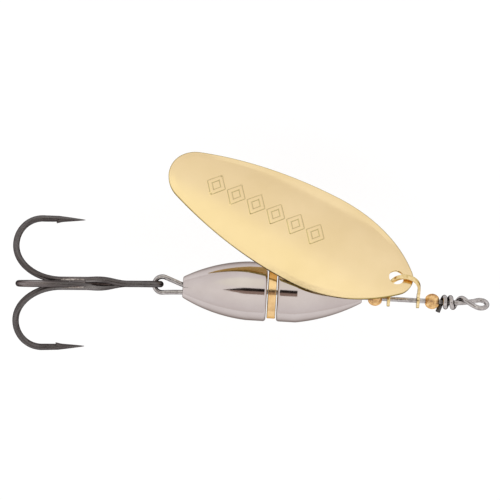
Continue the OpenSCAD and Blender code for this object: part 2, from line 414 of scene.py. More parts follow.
def rear_path():
    """From the shaft round the rear loop and back into the body's counterbore."""
    start = Vector((REAR_FORM_X, 0, 0))
    ring = Vector((LOOP_END_X + LOOP_R, LOOP_SHIFT, 0))

    def on_ring(a):
        return ring + LOOP_R * Vector((cos(a), sin(a), 0))

    first, last = 90 - MAIN_LEG_ANGLE, 270 + TAG_LEG_ANGLE
    main_way = Vector((-cos(MAIN_LEG_ANGLE), sin(MAIN_LEG_ANGLE), 0))
    tag_way = Vector((cos(TAG_LEG_ANGLE), sin(TAG_LEG_ANGLE), 0))
    bend = on_ring(first) - 3 * main_way
    settle = Vector((TAIL_FACE_X + TAG_LEG_SETTLE, TAG_LEG_Y, 0))
    path = [start] + hermite(start, Vector((-2, 0, 0)), bend, 3 * main_way, 14)
    path += [on_ring(first) - u * main_way for u in (2, 1)]
    path += [on_ring(a) for a in steps(first, last, 52)]
    path += hermite(path[-1], 4 * tag_way, settle, Vector((4, 0, 0)), 16)
    return path + [Vector((TAG_LEG_END_X, TAG_LEG_Y, 0))]


def wire_darkening(p):
    """Darkening of the shaft wire: a little on the hook's loop, and full, as painted shade, where
    the wraps touch it.
    """
    if p.x < TAIL_FACE_X:
        return LOOP_DARKENING
    if WRAPS_BACK_X < p.x < WRAPS_FRONT_X:
        return ease((TOUCH_R - math.hypot(p.y, p.z)) / TOUCH_FADE)
    return 0.0


def shaft_wire(material):
    """One wire: the rear loop, the straight shaft, the line eye and its wraps."""
    shape = Shape()
    straight = [Vector((x, 0, 0)) for x in steps(STRAIGHT_BACK_X, STRAIGHT_FRONT_X, 60)]
    path = rear_path()[::-1] + straight + front_path()
    path, radii = cut_end(path, [WIRE_R] * len(path))
    sides, tag_rings = 28, 5
    tube(shape, path, radii, Vector((0, 0, 1)), sides)
    obj = shape.piece(
        "shaft_wire_formed", "shaft_wire", "shaft", "stainless_wire", material, sharp=50
    )
    # the tag end is painted dark as its shadow
    clean = (len(path) - tag_rings) * sides
    values = [wire_darkening(p) for p in shape.points[:clean]]
    paint(obj, values + [TAG_PAINTED_SHADOW] * (len(shape.points) - clean))


# ---------------------------------------------------------------- beads, body and ring


def bead(name, node, x, material):
    """A turned bead: a ball with flattened, chamfered ends and a drilled hole."""
    half, mouth = BEAD_FLAT * BEAD_R, BORE_R + BEAD_CHAMFER
    profile = [(half, mouth), (half, BEAD_END_R)]
    profile += rounded((0, 0), BEAD_R, BEAD_BALL_FROM, 180 - BEAD_BALL_FROM, 36)
    profile += [(-half, BEAD_END_R), (-half, mouth)]
    profile += [(-half + BEAD_CHAMFER, BORE_R), (half - BEAD_CHAMFER, BORE_R)]
    shape = Shape()
    lathe(shape, [(px + x, r) for px, r in profile], sides=72)
    shape.piece(name, node, node, "bead_brass", material, sharp=28)


def half_profile(r, parallel, slope, bow_r, tail_round):
    """Outside of half the body as (distance from its inner face, radius), from that face on."""
    edge = INNER_EDGE_R
    out = rounded((edge, r - edge), edge, 180, 90, 12)
    out += [(edge + (parallel - edge) * u, r) for u in (0.25, 0.5, 0.75, 0.97)]
    middle = (parallel - bow_r * sin(slope), r - bow_r * cos(slope))
    span = TAPER_LENGTH - tail_round
    for a in steps(0.03, span, 60):
        x = parallel + a
        out.append((x, middle[1] + math.sqrt(bow_r**2 - (x - middle[0]) ** 2)))
    end_r = out[-1][1]
    lean = math.degrees(math.asin((parallel + span - middle[0]) / bow_r))
    turn = tail_round / (1 - sin(lean))
    centre = (parallel + TAPER_LENGTH - turn, end_r - turn * cos(lean))
    out += rounded(centre, turn, 90 - lean, 0, 8)[1:]
    return out


def rear_body(material):
    """Rear half of the body, counterbored for the wire's tucked end."""
    parallel = REAR_HALF_FRONT_X - TAIL_SHOULDER_X
    outside = half_profile(REAR_R, parallel, REAR_SLOPE, REAR_BOW_R, REAR_END_ROUND)
    length, chamfer = outside[-1][0], 0.12
    floor_at = length - COUNTERBORE_DEPTH
    inside = [(length, COUNTERBORE_R + chamfer), (length - chamfer, COUNTERBORE_R)]
    inside += [(floor_at, COUNTERBORE_R), (floor_at, BORE_R), (0, BORE_R)]
    shape = Shape()
    lathe(shape, [(REAR_HALF_FRONT_X - a, r) for a, r in outside + inside])
    obj = shape.piece(
        "rear_body_plated", "rear_body", "rear_body", "body_nickel", material, sharp=16
    )
    # the inner face is painted dark as the shade in the gap between the halves
    paint(obj, [float(p.x > REAR_HALF_FRONT_X - FACE_SLACK) for p in shape.points])


def front_body(material):
    """Front half of the body, bored through."""
    parallel = NOSE_SHOULDER_X - FRONT_HALF_BACK_X
    outside = half_profile(FRONT_R, parallel, FRONT_SLOPE, FRONT_BOW_R, FRONT_END_ROUND)
    length, chamfer = outside[-1][0], 0.15
    inside = [(length, BORE_R + chamfer), (length - chamfer, BORE_R), (0, BORE_R)]
    shape = Shape()
    lathe(shape, [(FRONT_HALF_BACK_X + a, r) for a, r in outside + inside])
    obj = shape.piece(
        "front_body_plated", "front_body", "front_body", "body_nickel", material, sharp=16
    )
    # the inner face is painted dark as the shade in the gap between the halves
    paint(obj, [float(p.x < FRONT_HALF_BACK_X + FACE_SLACK) for p in shape.points])


def band_ring(material):
    """Turned ring between the halves; its sides are painted darker than its face, as the shade in
    the gaps beside it.
    """
    half, edge = RING_WIDTH / 2, RING_EDGE
    profile = rounded((half - edge, RING_R - edge), edge, 0, 90, 5)
    profile += rounded((edge - half, RING_R - edge), edge, 90, 180, 5)
    profile += [(-half, BORE_R), (half, BORE_R)]
    shape = Shape()
    lathe(shape, [(RING_X + x, r) for x, r in profile])
    obj = shape.piece("band_ring_turned", "band_ring", "band_ring", "ring_brass", material)
    paint(obj, [float(abs(p.x - RING_X) > half - FACE_SLACK) for p in shape.points])


# ---------------------------------------------------------------- blade


def flank_half_width(s, end_x, end_r):
    """Half width of the outline where it follows the flank towards the end at end_x."""
    run = end_x - WIDEST_AT
    big = (run * run + HALF_WIDTH**2 - end_r**2) / (2 * (HALF_WIDTH - end_r))
    touch = WIDEST_AT + run * big / (big - end_r)
    if abs(s - WIDEST_AT) <= abs(touch - WIDEST_AT):
        return HALF_WIDTH - big + math.sqrt(big * big - (s - WIDEST_AT) ** 2)
    return math.sqrt(max(0.0, end_r**2 - (s - end_x) ** 2))


def half_width(s):
    """Half width of the blade's outline, s along it from the hole."""
    if s < WIDEST_AT:
        return flank_half_width(s, FRONT_END_R - HOLE_TO_TIP, FRONT_END_R)
    return flank_half_width(s, BLADE_LENGTH - HOLE_TO_TIP - FAR_END_R, FAR_END_R)


def reach(centre, angle):
    """Distance from (centre, 0) to the outline in a direction."""
    low, high = 0.5, 60.0
    for _ in range(40):
        r = (low + high) / 2
        s = centre + r * cos(angle)
        inside = -HOLE_TO_TIP < s < BLADE_LENGTH - HOLE_TO_TIP
        if inside and abs(r * sin(angle)) < half_width(s):
            low = r
        else:
            high = r
    return low


ORNAMENT_FIRST = 17.4
ORNAMENT_STEP = 4.2
ORNAMENT_COUNT = 6
LOZENGE_LENGTH = 1.9
LOZENGE_HEIGHT = 2.45
ORNAMENT_RISE = 0.11
OUTLINE_SOFT = 0.1  # width of each slope of the outline, as a share of the lozenge
OUTLINE_INNER = 0.58
# the next two set the painted dark reflection beside the relief and along the cut edge
RELIEF_SHADE_GAIN = 0.95
EDGE_SHADE_WIDTH = 0.2
ROLL_WIDTH = 1.3
ROLL_DEPTH = 0.085
FLANKS_MIDDLE = 21.0  # the flanks reach this far along the blade, give or take FLANKS_REACH
FLANKS_REACH = 23.0


def ornament(s, y):
    """Height of the stamped row of lozenge outlines, a plain pattern along the blade's middle."""
    nearest = round((s - ORNAMENT_FIRST) / ORNAMENT_STEP)
    nearest = max(0, min(ORNAMENT_COUNT - 1, nearest))
    ds = s - ORNAMENT_FIRST - nearest * ORNAMENT_STEP
    size = abs(ds) / LOZENGE_LENGTH + abs(y) / LOZENGE_HEIGHT
    band = ease((1 - size) / OUTLINE_SOFT) - ease((OUTLINE_INNER - size) / OUTLINE_SOFT)
    return ORNAMENT_RISE * band


def stain_and_shade(s, y):
    """How dark a point is painted, as a dark reflection: beside the relief and along the cut edge.
    """
    step = 0.06
    slope = math.hypot(
        ornament(s + step, y) - ornament(s - step, y), ornament(s, y + step) - ornament(s, y - step)
    )
    beside_relief = clamp01(RELIEF_SHADE_GAIN * slope / (2 * step))
    return clamp01(beside_relief + ease(1 - edge_inset(s, y) / EDGE_SHADE_WIDTH))


def edge_inset(s, y):
    """Distance of a point of the sheet from the blade's outline."""
    if abs(s - FLANKS_MIDDLE) < FLANKS_REACH:
        step = 0.1
        slope = (half_width(s + step) - half_width(s - step)) / (2 * step)
        return (half_width(s) - abs(y)) / math.sqrt(1 + slope**2)
    if s < FLANKS_MIDDLE:
        return FRONT_END_R - math.hypot(s - (FRONT_END_R - HOLE_TO_TIP), y)
    return FAR_END_R - math.hypot(s - (BLADE_LENGTH - HOLE_TO_TIP - FAR_END_R), y)


def edge_roll(s, y):
    """The blanking die draws the last millimetre of the sheet down a little."""
    near = clamp01(1 - edge_inset(s, y) / ROLL_WIDTH)
    return -ROLL_DEPTH * near * ease(4 * near)


def blade_point(s, y):
    """A point of the sheet's middle surface."""
    ring = DISH_ALONG - DISH_ACROSS + math.sqrt((DISH_ACROSS - BLADE_T / 2) ** 2 - y * y)
    height = math.sqrt(ring * ring - (s - CREST_AT) ** 2) - DISH_ALONG
    return Vector((s, y, height + ornament(s, y) + edge_roll(s, y)))


def across_values():
    """Places across the blade from -1 to 1, closer together where the ornament is."""
    relief_edge, shoulder, rim = 0.253, 0.75, 0.97
    half = [v * 0.0115 for v in range(23)]
    half += steps(relief_edge, shoulder, 11)[1:] + steps(shoulder, rim, 11)[1:] + [0.985, 1.0]
    return [-v for v in half[:0:-1]] + half


def along_values(first, last):
    """Stations along the blade between its two round ends, closer together at the ornament."""
    margin, fine_step = 0.2, 0.12
    fine_from = ORNAMENT_FIRST - LOZENGE_LENGTH - margin
    fine_to = ORNAMENT_FIRST + (ORNAMENT_COUNT - 1) * ORNAMENT_STEP + LOZENGE_LENGTH + margin
    out = steps(first, fine_from, 18)
    out += steps(fine_from, fine_to, round((fine_to - fine_from) / fine_step))[1:]
    return out + steps(fine_to, last, 10)[1:]


def blade(material):
    """The sheet's middle surface, thickened afterwards: a fan round the hole, a grid, a far fan."""
    shape = Shape()
    across = across_values()
    near, far = 6.6, BLADE_LENGTH - HOLE_TO_TIP - FAR_END_R
    hole_rays, end_rays = 130, 46
    stations = along_values(near, far)
    grid = [[blade_point(s, v * half_width(s)) for v in across] for s in stations]
    start = shape.rows(grid, stations, 2 * HALF_WIDTH, closed=False)

    # fan round the hole: rays to the grid's first row and, beyond it, to the outline
    edge_angle = math.degrees(math.atan2(half_width(near), near))
    rim = [(near, v * half_width(near)) for v in across]
    for a in steps(edge_angle, 360 - edge_angle, hole_rays)[1:-1]:
        r = reach(0.0, a)
        rim.append((r * cos(a), r * sin(a)))
    shares = [0.97 * (i / 25) ** 1.15 for i in range(26)] + [0.982, 0.991]
    fan(shape, rim, BLADE_HOLE_R, shares, blade_point, range(start, start + len(across)))

    # fan over the far round end: its first and last rays are halves of the grid's last row
    last = start + (len(stations) - 1) * len(across)
    middle = len(across) // 2
    previous = [last + middle + i for i in range(middle + 1)]
    for j, a in enumerate(steps(90, -90, end_rays)[1:]):
        if j == end_rays - 1:
            current = [last + middle - i for i in range(middle + 1)]
        else:
            current = [last + middle]
            r = reach(far, a)
            for i in range(1, middle + 1):
                v = across[middle + i] * r
                current.append(len(shape.points))
                shape.points.append(blade_point(far + v * cos(a), v * sin(a)))
        shape.face((previous[0], previous[1], current[1]))
        for i in range(1, middle):
            shape.face((previous[i], previous[i + 1], current[i + 1], current[i]))
        previous = current

    hole_height = math.sqrt((DISH_ALONG - BLADE_T / 2) ** 2 - CREST_AT**2) - DISH_ALONG
    turn = [Matrix.Rotation(math.radians(BLADE_TILT[i]), 4, "XYZ"[i]) for i in (2, 1, 0)]
    place = Matrix.Translation(HOLE_AT) @ turn[0] @ turn[1] @ turn[2]
    place = place @ Matrix.Translation((0, 0, -hole_height))
    obj = shape.piece("blade_stamped", "blade", "blade", "blade_gold", material, place, sharp=180)
    # the relief's slopes and the cut edge are painted dark as reflections
    paint(obj, [stain_and_shade(p.x, p.y) for p in shape.points])
    thicken(obj, BLADE_T, 0.13)


def paint(obj, values):
    """Gives every point a value from 0, bright metal, to 1, stained or painted dark as shade, that
    the material reads.
    """
    layer = obj.data.attributes.new("stain_and_shade", "FLOAT", "POINT")
    layer.data.foreach_set("value", values)


def thicken(obj, thickness, edge):
    """Gives a sheet its thickness, evenly to both sides, and rounds its cut edges."""
    solid = obj.modifiers.new("thickness", "SOLIDIFY")
    solid.thickness = thickness * MM
    solid.offset = 0
    solid.use_even_offset = True
    bevel = obj.modifiers.new("edges", "BEVEL")
    bevel.width = edge * MM
    bevel.segments = 3
    bevel.limit_method = "ANGLE"
    bevel.angle_limit = math.radians(55)
    weighted = obj.modifiers.new("normals", "WEIGHTED_NORMAL")
    weighted.keep_sharp = True


# ---------------------------------------------------------------- clevis


def strap_point(d, y):
    """A point of the folded strap: d runs from one ear's hole over the bend to the other's."""
    leg = CLEVIS_TOP - STRAP_BEND_R
    bend = math.pi * STRAP_BEND_R
    if d <= leg:
        return Vector((-STRAP_BEND_R, y, d))
    if d >= leg + bend:
        return Vector((STRAP_BEND_R, y, 2 * leg + bend - d))
    a = 180 * (1 - (d - leg) / bend)
    return Vector((STRAP_BEND_R * cos(a), y, leg + STRAP_BEND_R * sin(a)))


def clevis(material):
    """Two pierced ears joined by a folded strap, waisted in its middle."""
    shape = Shape()
    total = 2 * (CLEVIS_TOP - STRAP_BEND_R) + math.pi * STRAP_BEND_R
    root, columns, ear_rays = EAR_ROOT, 8, 60
    shares = [i / 5 for i in range(5)]

    def strap_half(d):
        return STRAP_HALF_WIDTH - STRAP_WAIST * ease(1 - abs(d - total / 2) / (total / 2 - root))

    stations = steps(root, total - root, 64)
    rows = [
        [strap_point(d, strap_half(d) * (2 * k / columns - 1)) for k in range(columns + 1)]
        for d in stations
    ]
    start = shape.rows(rows, stations, 1.0, closed=False)
    foot = strap_half(root)
    edge_angle = math.degrees(math.atan2(foot, root))

    # each ear is a fan of rays round its hole; the first ones end on the strap's first row
    for side in (0, 1):
        row = start + side * (len(stations) - 1) * (columns + 1)
        rim = [(foot * (2 * k / columns - 1), root) for k in range(columns + 1)]
        for a in steps(edge_angle, 360 - edge_angle, ear_rays)[1:-1]:
            neck = foot / max(1e-3, abs(sin(a))) if cos(a) > 0 else 0.0
            r = (EAR_R**9 + min(neck, root / max(0.1, cos(a))) ** 9) ** (1 / 9)
            rim.append((r * sin(a), r * cos(a)))

        def on_ear(y, d):
            return strap_point(total - d if side else d, y)

        fan(shape, rim, BORE_R, shares, on_ear, range(row, row + columns + 1), flip=side == 1)

    place = Matrix.Translation((CLEVIS_X, 0, 0))
    place = place @ Matrix.Rotation(math.radians(CLEVIS_LEAN - 90), 4, "X")
    obj = shape.piece("clevis_folded", "clevis", "clevis", "blade_gold", material, place, sharp=180)
    thicken(obj, STRAP_T, 0.2)


# ---------------------------------------------------------------- treble


def treble_piece(shape, name, node, material, values, sharp=40):
    """Makes one of the treble's pieces, which are drawn in the treble's own frame."""
    place = Matrix.Translation((LOOP_END_X, LOOP_SHIFT, 0))
    place = place @ Matrix.Rotation(math.radians(180 + TREBLE_YAW), 4, "Z")
    place = place @ Matrix.Rotation(math.radians(-TREBLE_RISE), 4, "Y")
    obj = shape.piece(name, node, "treble", "hook_steel", material, place, sharp)
    paint(obj, values)


def bend_path():
    """Bend and spear of one hook: distance along the shank and height above it."""
    out = [
        (BEND_START + (BEND_BACK - BEND_START) * sin(a), BEND_MIDDLE * (1 - cos(a)))
        for a in steps(0, 90, 26)[1:]
    ]
    out += [
        (BEND_TOP + (BEND_BACK - BEND_TOP) * cos(a), BEND_MIDDLE + (GAPE - BEND_MIDDLE) * sin(a))
        for a in steps(0, 90, 26)[1:]
    ]
    for x in steps(BEND_TOP, POINT_END, SPEAR_STEPS)[1:]:
        out.append((x, GAPE - POINT_DROP * (BEND_TOP - x) / (BEND_TOP - POINT_END)))
    return out


def strand_path(s):
    """One of the paired wires from the eye's neck to its point; s is 1 or -1."""
    path = []
    for x in steps(TWIST_START, TWIST_END, 36)[1:]:
        u = (x - TWIST_START) / (TWIST_END - TWIST_START)
        turn = 90 * (1 - ease(u))
        away = NECK_OFFSET + TWIST_BULGE * sin(180 * clamp01(u))
        path.append(
            Vector((x, -s * away * cos(turn), s * away * sin(turn) - PAIR_DROP * ease(u)))
        )
    shank = steps(TWIST_END, BEND_START, 12)[1:]
    path += [Vector((x, -s * NECK_OFFSET, -PAIR_DROP)) for x in shank]
    for x, h in bend_path():
        path.append(Vector((x, -s * (NECK_OFFSET + h * cos(SPLAY)), -PAIR_DROP - h * sin(SPLAY))))
    return path


def eye_half(s):
    """The eye from its front round to the neck; s picks the upper or the lower half."""
    a = 140
    path = [
        Vector((HOOK_EYE_X - HOOK_EYE_R * cos(t), 0, s * HOOK_EYE_R * sin(t)))
        for t in steps(0, a, 30)[1:]
    ]
    way = 1.3 * Vector((sin(a), 0, s * cos(a)))
    neck = Vector((NECK_START, 0, s * NECK_OFFSET))
    path += hermite(path[-1], way, neck, Vector((1.3, 0, 0)), 14)
    return path + [Vector((x, 0, s * NECK_OFFSET)) for x in steps(NECK_START, TWIST_START, 5)[1:]]


SPEAR_STEPS = 60
SPEAR_LEAD = 0.4  # the taper starts this far before POINT_START
SPEAR_BELLY = 0.86  # 1 is a plain cone
SPEAR_REACH = 1.0
BARB_TIP = 18.15
BARB_ROOT = 16.9
BARB_RISE = 0.36
BARB_HOOK = 0.75  # how far the barb leans back, as a share of its rise
NOTCH_LENGTH = 2.6
NOTCH_DEPTH = 0.13


def spear_radius(x):
    """Radius of the spear at a distance along the shank: a long taper with a slight belly."""
    start = POINT_START + SPEAR_LEAD
    u = clamp01((start - x) / (start - POINT_END))
    return POINT_R + (HOOK_R - POINT_R) * (1 - u) ** SPEAR_BELLY


def barb_shift(path, toward_shank):
    """Raises the barb on the side of the spear that faces the shank, with its cut behind it."""
    height = [(p.dot(toward_shank), p.x) for p in path]
    top = min(h for h, x in height)

    def shift(i, out):
        h, x = height[i]
        if h > top + SPEAR_REACH or x > BEND_TOP:
            return Vector()
        inner = max(0.0, out.dot(toward_shank))
        if BARB_ROOT < x <= BARB_TIP:
            u = (x - BARB_ROOT) / (BARB_TIP - BARB_ROOT)
            lift = BARB_RISE * u**1.3 * inner**5
            return lift * toward_shank + BARB_HOOK * lift * Vector((1, 0, 0))
        if BARB_TIP < x < BARB_TIP + NOTCH_LENGTH:
            u = (x - BARB_TIP) / NOTCH_LENGTH
            return -NOTCH_DEPTH * (1 - ease(u)) * inner**3 * toward_shank
        return Vector()

    return shift


def hook_radii(path):
    """Full wire up to the spear's own points at the end of the path."""
    plain = len(path) - SPEAR_STEPS
    return [HOOK_R] * plain + [spear_radius(p.x) for p in path[plain:]]


STEEL_DARKNESS = 0.67
SHANK_LIGHTENING = 0.26


def bronzing(p):
    """How dark the steel is, in the treble's frame: less along the brazed shanks."""
    along = ease((p.x - 9) / 3) * ease((19.5 - p.x) / 2.5)
    near = ease((2.4 - math.hypot(p.y, p.z)) / 0.6)
    return STEEL_DARKNESS - SHANK_LIGHTENING * along * near


def double_hook(material):
    """One wire: a point, its bend and shank, the twist and the eye, and all of it back again."""
    shape = Shape()
    arms = {s: eye_half(s) + strand_path(s) for s in (1, -1)}
    front = Vector((HOOK_EYE_X - HOOK_EYE_R, 0, 0))
    path = arms[-1][::-1] + [front] + arms[1]
    radii = hook_radii(arms[-1])[::-1] + [HOOK_R] + hook_radii(arms[1])
    middle = len(arms[-1])
    shifts = {s: barb_shift(path, Vector((0, s * cos(SPLAY), sin(SPLAY)))) for s in (1, -1)}

    def shift(i, out):
        return shifts[-1 if i < middle else 1](i, out)

    tube(shape, path, radii, Vector((0, -sin(SPLAY), cos(SPLAY))), sides=30, shift=shift)
    values = [bronzing(p) for p in shape.points]
    treble_piece(shape, "double_hook_forged", "double_hook", material, values)


def single_hook(material):
    """The third hook: its shank ends in a chamfered cut between the other two."""
    shape = Shape()
    path = [Vector((x, 0, SINGLE_RISE)) for x in steps(SINGLE_START, BEND_START, 12)]
    path += [Vector((x, 0, SINGLE_RISE + h)) for x, h in bend_path()]
    barb = barb_shift(path, Vector((0, 0, -1)))
    chamfer = 0.1
    radii = [HOOK_R - chamfer, HOOK_R] + hook_radii(path)[1:]
    path = [path[0], path[0] + Vector((chamfer, 0, 0))] + path[1:]

    # the chamfer adds a point in front, so the barb's own points are one place back
    def shift(i, out):
        return barb(max(0, i - 1), out)

    tube(shape, path, radii, Vector((0, 0, 1)), sides=30, shift=shift)
    # the bend is left lighter
    values = [bronzing(p) * (1 - ease((p.x - 19) / 4)) for p in shape.points]
    treble_piece(shape, "single_hook_forged", "single_hook", material, values)


def ripple(a, b):
    """A smooth unevenness from -1 to 1 that repeats nowhere near itself."""
    return 0.5 * math.sin(2.3 * a + 1.7 * b) + 0.5 * math.sin(3.9 * a - 2.6 * b + 1.1)


VALLEYS = ((28.0, 0.66), (152.0, 0.66), (270.0, 0.60))  # direction and depth of each fillet
FILLET_R = 0.27
FILLET_END_R = 0.05
CORE_FROM = 8.0
CORE_TO = 13.8
CORE_DROP = 0.12
CORE_R = 0.3
CORE_END_R = 0.08
CORE_PAINTED_SHADE = 0.93


def hook_braze(material):
    """Three uneven fillets of braze in the valleys between the shanks, and some in the twist, which
    is painted dark as the shade in the twist's groove.
    """
    shape = Shape()
    count = 44
    for index, (angle, deep) in enumerate(VALLEYS):
        side = Vector((0, cos(angle), sin(angle)))
        path, radii = [], []
        for i, x in enumerate(steps(SINGLE_START + 0.1, BEND_START + 0.3, count)):
            u = i / count
            full = math.sqrt(clamp01(min(u, 1 - u) / 0.16))
            radii.append(FILLET_END_R + full * (FILLET_R + 0.035 * ripple(2.2 * x, index)))
            path.append(Vector((x, 0, 0)) + (deep + 0.03 * ripple(1.6 * x, 3 + index)) * side)
        tube(shape, path, radii, Vector((0, 0, 1)), sides=16)
    core, core_radii = [], []
    for u in steps(0, 1, 24):
        x = CORE_FROM + (CORE_TO - CORE_FROM) * u
        turn = (x - TWIST_START) / (TWIST_END - TWIST_START)
        core.append(Vector((x, 0, -PAIR_DROP * ease(turn) - CORE_DROP)))
        core_radii.append(CORE_END_R + CORE_R * math.sqrt(clamp01(min(u, 1 - u) / 0.2)))
    fillet_points = len(shape.points)
    tube(shape, core, core_radii, Vector((0, 0, 1)), sides=16)
    # the braze in the twist is painted dark as shade
    values = [0.0] * fillet_points + [CORE_PAINTED_SHADE] * (len(shape.points) - fillet_points)
    treble_piece(shape, "hook_braze_fillets", "hook_braze", material, values, sharp=60)


# ---------------------------------------------------------------- materials


class Finish:
    """A Principled metal whose colour, roughness and bump come from chains of noise."""

    def __init__(self, name, edge):
        """edge tints the reflection where the surface turns away."""
        self.material = bpy.data.materials.new(name)
        self.material.use_nodes = True
        self.tree = self.material.node_tree
        self.shader = self.tree.nodes["Principled BSDF"]
        self.shader.inputs["Metallic"].default_value = 1.0
        self.shader.inputs["Specular Tint"].default_value = (*edge, 1)
        self.coords = self.add("ShaderNodeTexCoord")

    def add(self, kind, **values):
        node = self.tree.nodes.new(kind)
        for key, value in values.items():
            setattr(node, key, value)
        return node

    def link(self, a, b):
        self.tree.links.new(a, b)

    def noise(self, scale, detail=4.0, stretch=(1, 1, 1), output="Object", roughness=0.55):
        """Noise with scale features per metre (or per unit of surface place) along each axis."""
        mapping = self.add("ShaderNodeMapping")
        mapping.inputs["Scale"].default_value = [scale * s for s in stretch]
        self.link(self.coords.outputs[output], mapping.inputs["Vector"])
        noise = self.add("ShaderNodeTexNoise")
        noise.inputs["Scale"].default_value = 1.0
        noise.inputs["Detail"].default_value = detail
        noise.inputs["Roughness"].default_value = roughness
        self.link(mapping.outputs["Vector"], noise.inputs["Vector"])
        return noise.outputs["Fac"]

    def ramp(self, source, stops):
        """Colours at positions of source: stops are (position, colour)."""
        ramp = self.add("ShaderNodeValToRGB")
        elements = ramp.color_ramp.elements
        elements[0].position, elements[0].color = stops[0][0], (*stops[0][1], 1)
        elements[1].position, elements[1].color = stops[-1][0], (*stops[-1][1], 1)
        for position, colour in stops[1:-1]:
            elements.new(position).color = (*colour, 1)
        self.link(source, ramp.inputs["Fac"])
        return ramp.outputs["Color"]

    def painted(self, name):
        """A value that the mesh carries at its points."""
        return self.add("ShaderNodeAttribute", attribute_name=name).outputs["Fac"]

    def mix(self, factor, a, b):
        mix = self.add("ShaderNodeMix", data_type="RGBA")
        self.link(factor, mix.inputs[0])
        self.link(a, mix.inputs[6])
        self.link(b, mix.inputs[7])
        return mix.outputs[2]

    def spread(self, source, low, high, start=0.3, end=0.7):
        """Maps source's middle values onto low to high."""
        span = self.add("ShaderNodeMapRange")
        span.inputs["From Min"].default_value = start
        span.inputs["From Max"].default_value = end
        span.inputs["To Min"].default_value = low
        span.inputs["To Max"].default_value = high
        self.link(source, span.inputs["Value"])
        return span.outputs["Result"]

    def add_up(self, a, b):
        total = self.add("ShaderNodeMath", operation="ADD")
        self.link(a, total.inputs[0])
        self.link(b, total.inputs[1])
        return total.outputs["Value"]

    def colour(self, source):
        self.link(source, self.shader.inputs["Base Color"])

    def rough(self, source):
        self.link(source, self.shader.inputs["Roughness"])

    def bump(self, *layers):
        """Stacks bumps; each layer is (height source, depth in millimetres, strength)."""
        normal = None
        for source, depth, strength in layers:
            bump = self.add("ShaderNodeBump")
            bump.inputs["Strength"].default_value = strength
            bump.inputs["Distance"].default_value = depth * MM
            self.link(source, bump.inputs["Height"])
            if normal:
                self.link(normal, bump.inputs["Normal"])
            normal = bump.outputs["Normal"]
        self.link(normal, self.shader.inputs["Normal"])


def blade_gold():
    """Polished gold plating over stamped brass: slight haze, fine lines and soft waviness."""
    f = Finish("blade_gold", edge=(0.5, 0.38, 0.2))
    tone = f.noise(90, detail=3)
    plating = f.ramp(tone, [(0.32, (0.835, 0.65, 0.36)), (0.68, (0.88, 0.695, 0.405))])
    # painted reflection: the dark colour beside the relief and along the cut edge
    painted_dark_reflection = f.ramp(f.noise(1400, detail=4), [(0.3, (0.2, 0.15, 0.04)), (0.7, (0.4, 0.32, 0.11))])
    f.colour(f.mix(f.painted("stain_and_shade"), plating, painted_dark_reflection))
    haze = f.noise(260, detail=5)
    fine = f.noise(2600, detail=2, stretch=(0.12, 1, 1))
    f.rough(f.add_up(f.spread(haze, 0.10, 0.19), f.spread(fine, -0.02, 0.03)))
    waves = f.noise(150, detail=1.5)
    f.bump((waves, 0.05, 0.25), (fine, 0.004, 0.25), (haze, 0.006, 0.2))
    return f.material


def clevis_gold():
    """Gold plating on a narrow folded strap: deeper in tone, with mottled wear, draw lines and a
    dark tint at its edges.
    """
    f = Finish("clevis_gold", edge=(0.12, 0.08, 0.03))
    wear = f.noise(900, detail=5, roughness=0.65)
    stops = [(0.3, (0.60, 0.44, 0.19)), (0.5, (0.84, 0.65, 0.33)), (0.72, (0.97, 0.81, 0.52))]
    f.colour(f.ramp(wear, stops))
    lines = f.noise(1.0, detail=3, stretch=(0.6, 9, 1), output="UV")
    f.rough(f.spread(wear, 0.24, 0.12))
    f.bump((lines, 0.012, 0.4), (wear, 0.01, 0.3))
    return f.material


def body_nickel():
    """Mirror nickel over turned brass: faint turning rings, haze and a few soft stains."""
    f = Finish("body_nickel", edge=(0.28, 0.25, 0.235))
    stain_and_shade = f.noise(170, detail=4)
    plating = f.ramp(stain_and_shade, [(0.3, (0.535, 0.47, 0.455)), (0.7, (0.60, 0.54, 0.525))])
    # painted shade: the halves' inner faces take this dark colour, for the shade in the gap between
    # them
    painted_gap_shade = f.ramp(stain_and_shade, [(0.3, (0.03, 0.02, 0.016)), (0.7, (0.07, 0.05, 0.04))])
    f.colour(f.mix(f.painted("stain_and_shade"), plating, painted_gap_shade))
    rings = f.noise(5200, detail=2, stretch=(1, 0.015, 0.015))
    haze = f.noise(420, detail=5)
    f.rough(f.add_up(f.spread(haze, 0.05, 0.12), f.spread(rings, -0.01, 0.03)))
    f.bump((rings, 0.004, 0.25), (f.noise(240, detail=2), 0.02, 0.2))
    return f.material


def ring_brass():
    """Turned brass with plain tool rings and a little tarnish."""
    f = Finish("ring_brass", edge=(0.7, 0.5, 0.28))
    tarnish = f.noise(500, detail=5)
    face = f.ramp(tarnish, [(0.3, (0.72, 0.46, 0.21)), (0.7, (0.90, 0.64, 0.34))])
    # painted shade: the ring's sides take this dark colour, for the shade in the gaps beside it
    side = f.ramp(tarnish, [(0.3, (0.04, 0.025, 0.012)), (0.7, (0.12, 0.07, 0.03))])
    f.colour(f.mix(f.painted("stain_and_shade"), face, side))
    rings = f.noise(9000, detail=2, stretch=(1, 0.01, 0.01))
    f.rough(f.add_up(f.spread(tarnish, 0.11, 0.2), f.spread(rings, -0.02, 0.04)))
    f.bump((rings, 0.012, 0.5))
    return f.material


def bead_brass():
    """Raw brass tumbled with its mates: mottled colour, small dents and dull patches."""
    f = Finish("bead_brass", edge=(0.6, 0.38, 0.2))
    mottle = f.noise(1100, detail=6, roughness=0.7)
    stops = [(0.36, (0.36, 0.20, 0.11)), (0.48, (0.70, 0.43, 0.19)), (0.64, (0.97, 0.68, 0.34))]
    f.colour(f.ramp(mottle, stops))
    dents = f.noise(2400, detail=3)
    f.rough(f.spread(mottle, 0.5, 0.28))
    f.bump((dents, 0.06, 0.6), (mottle, 0.03, 0.4))
    return f.material


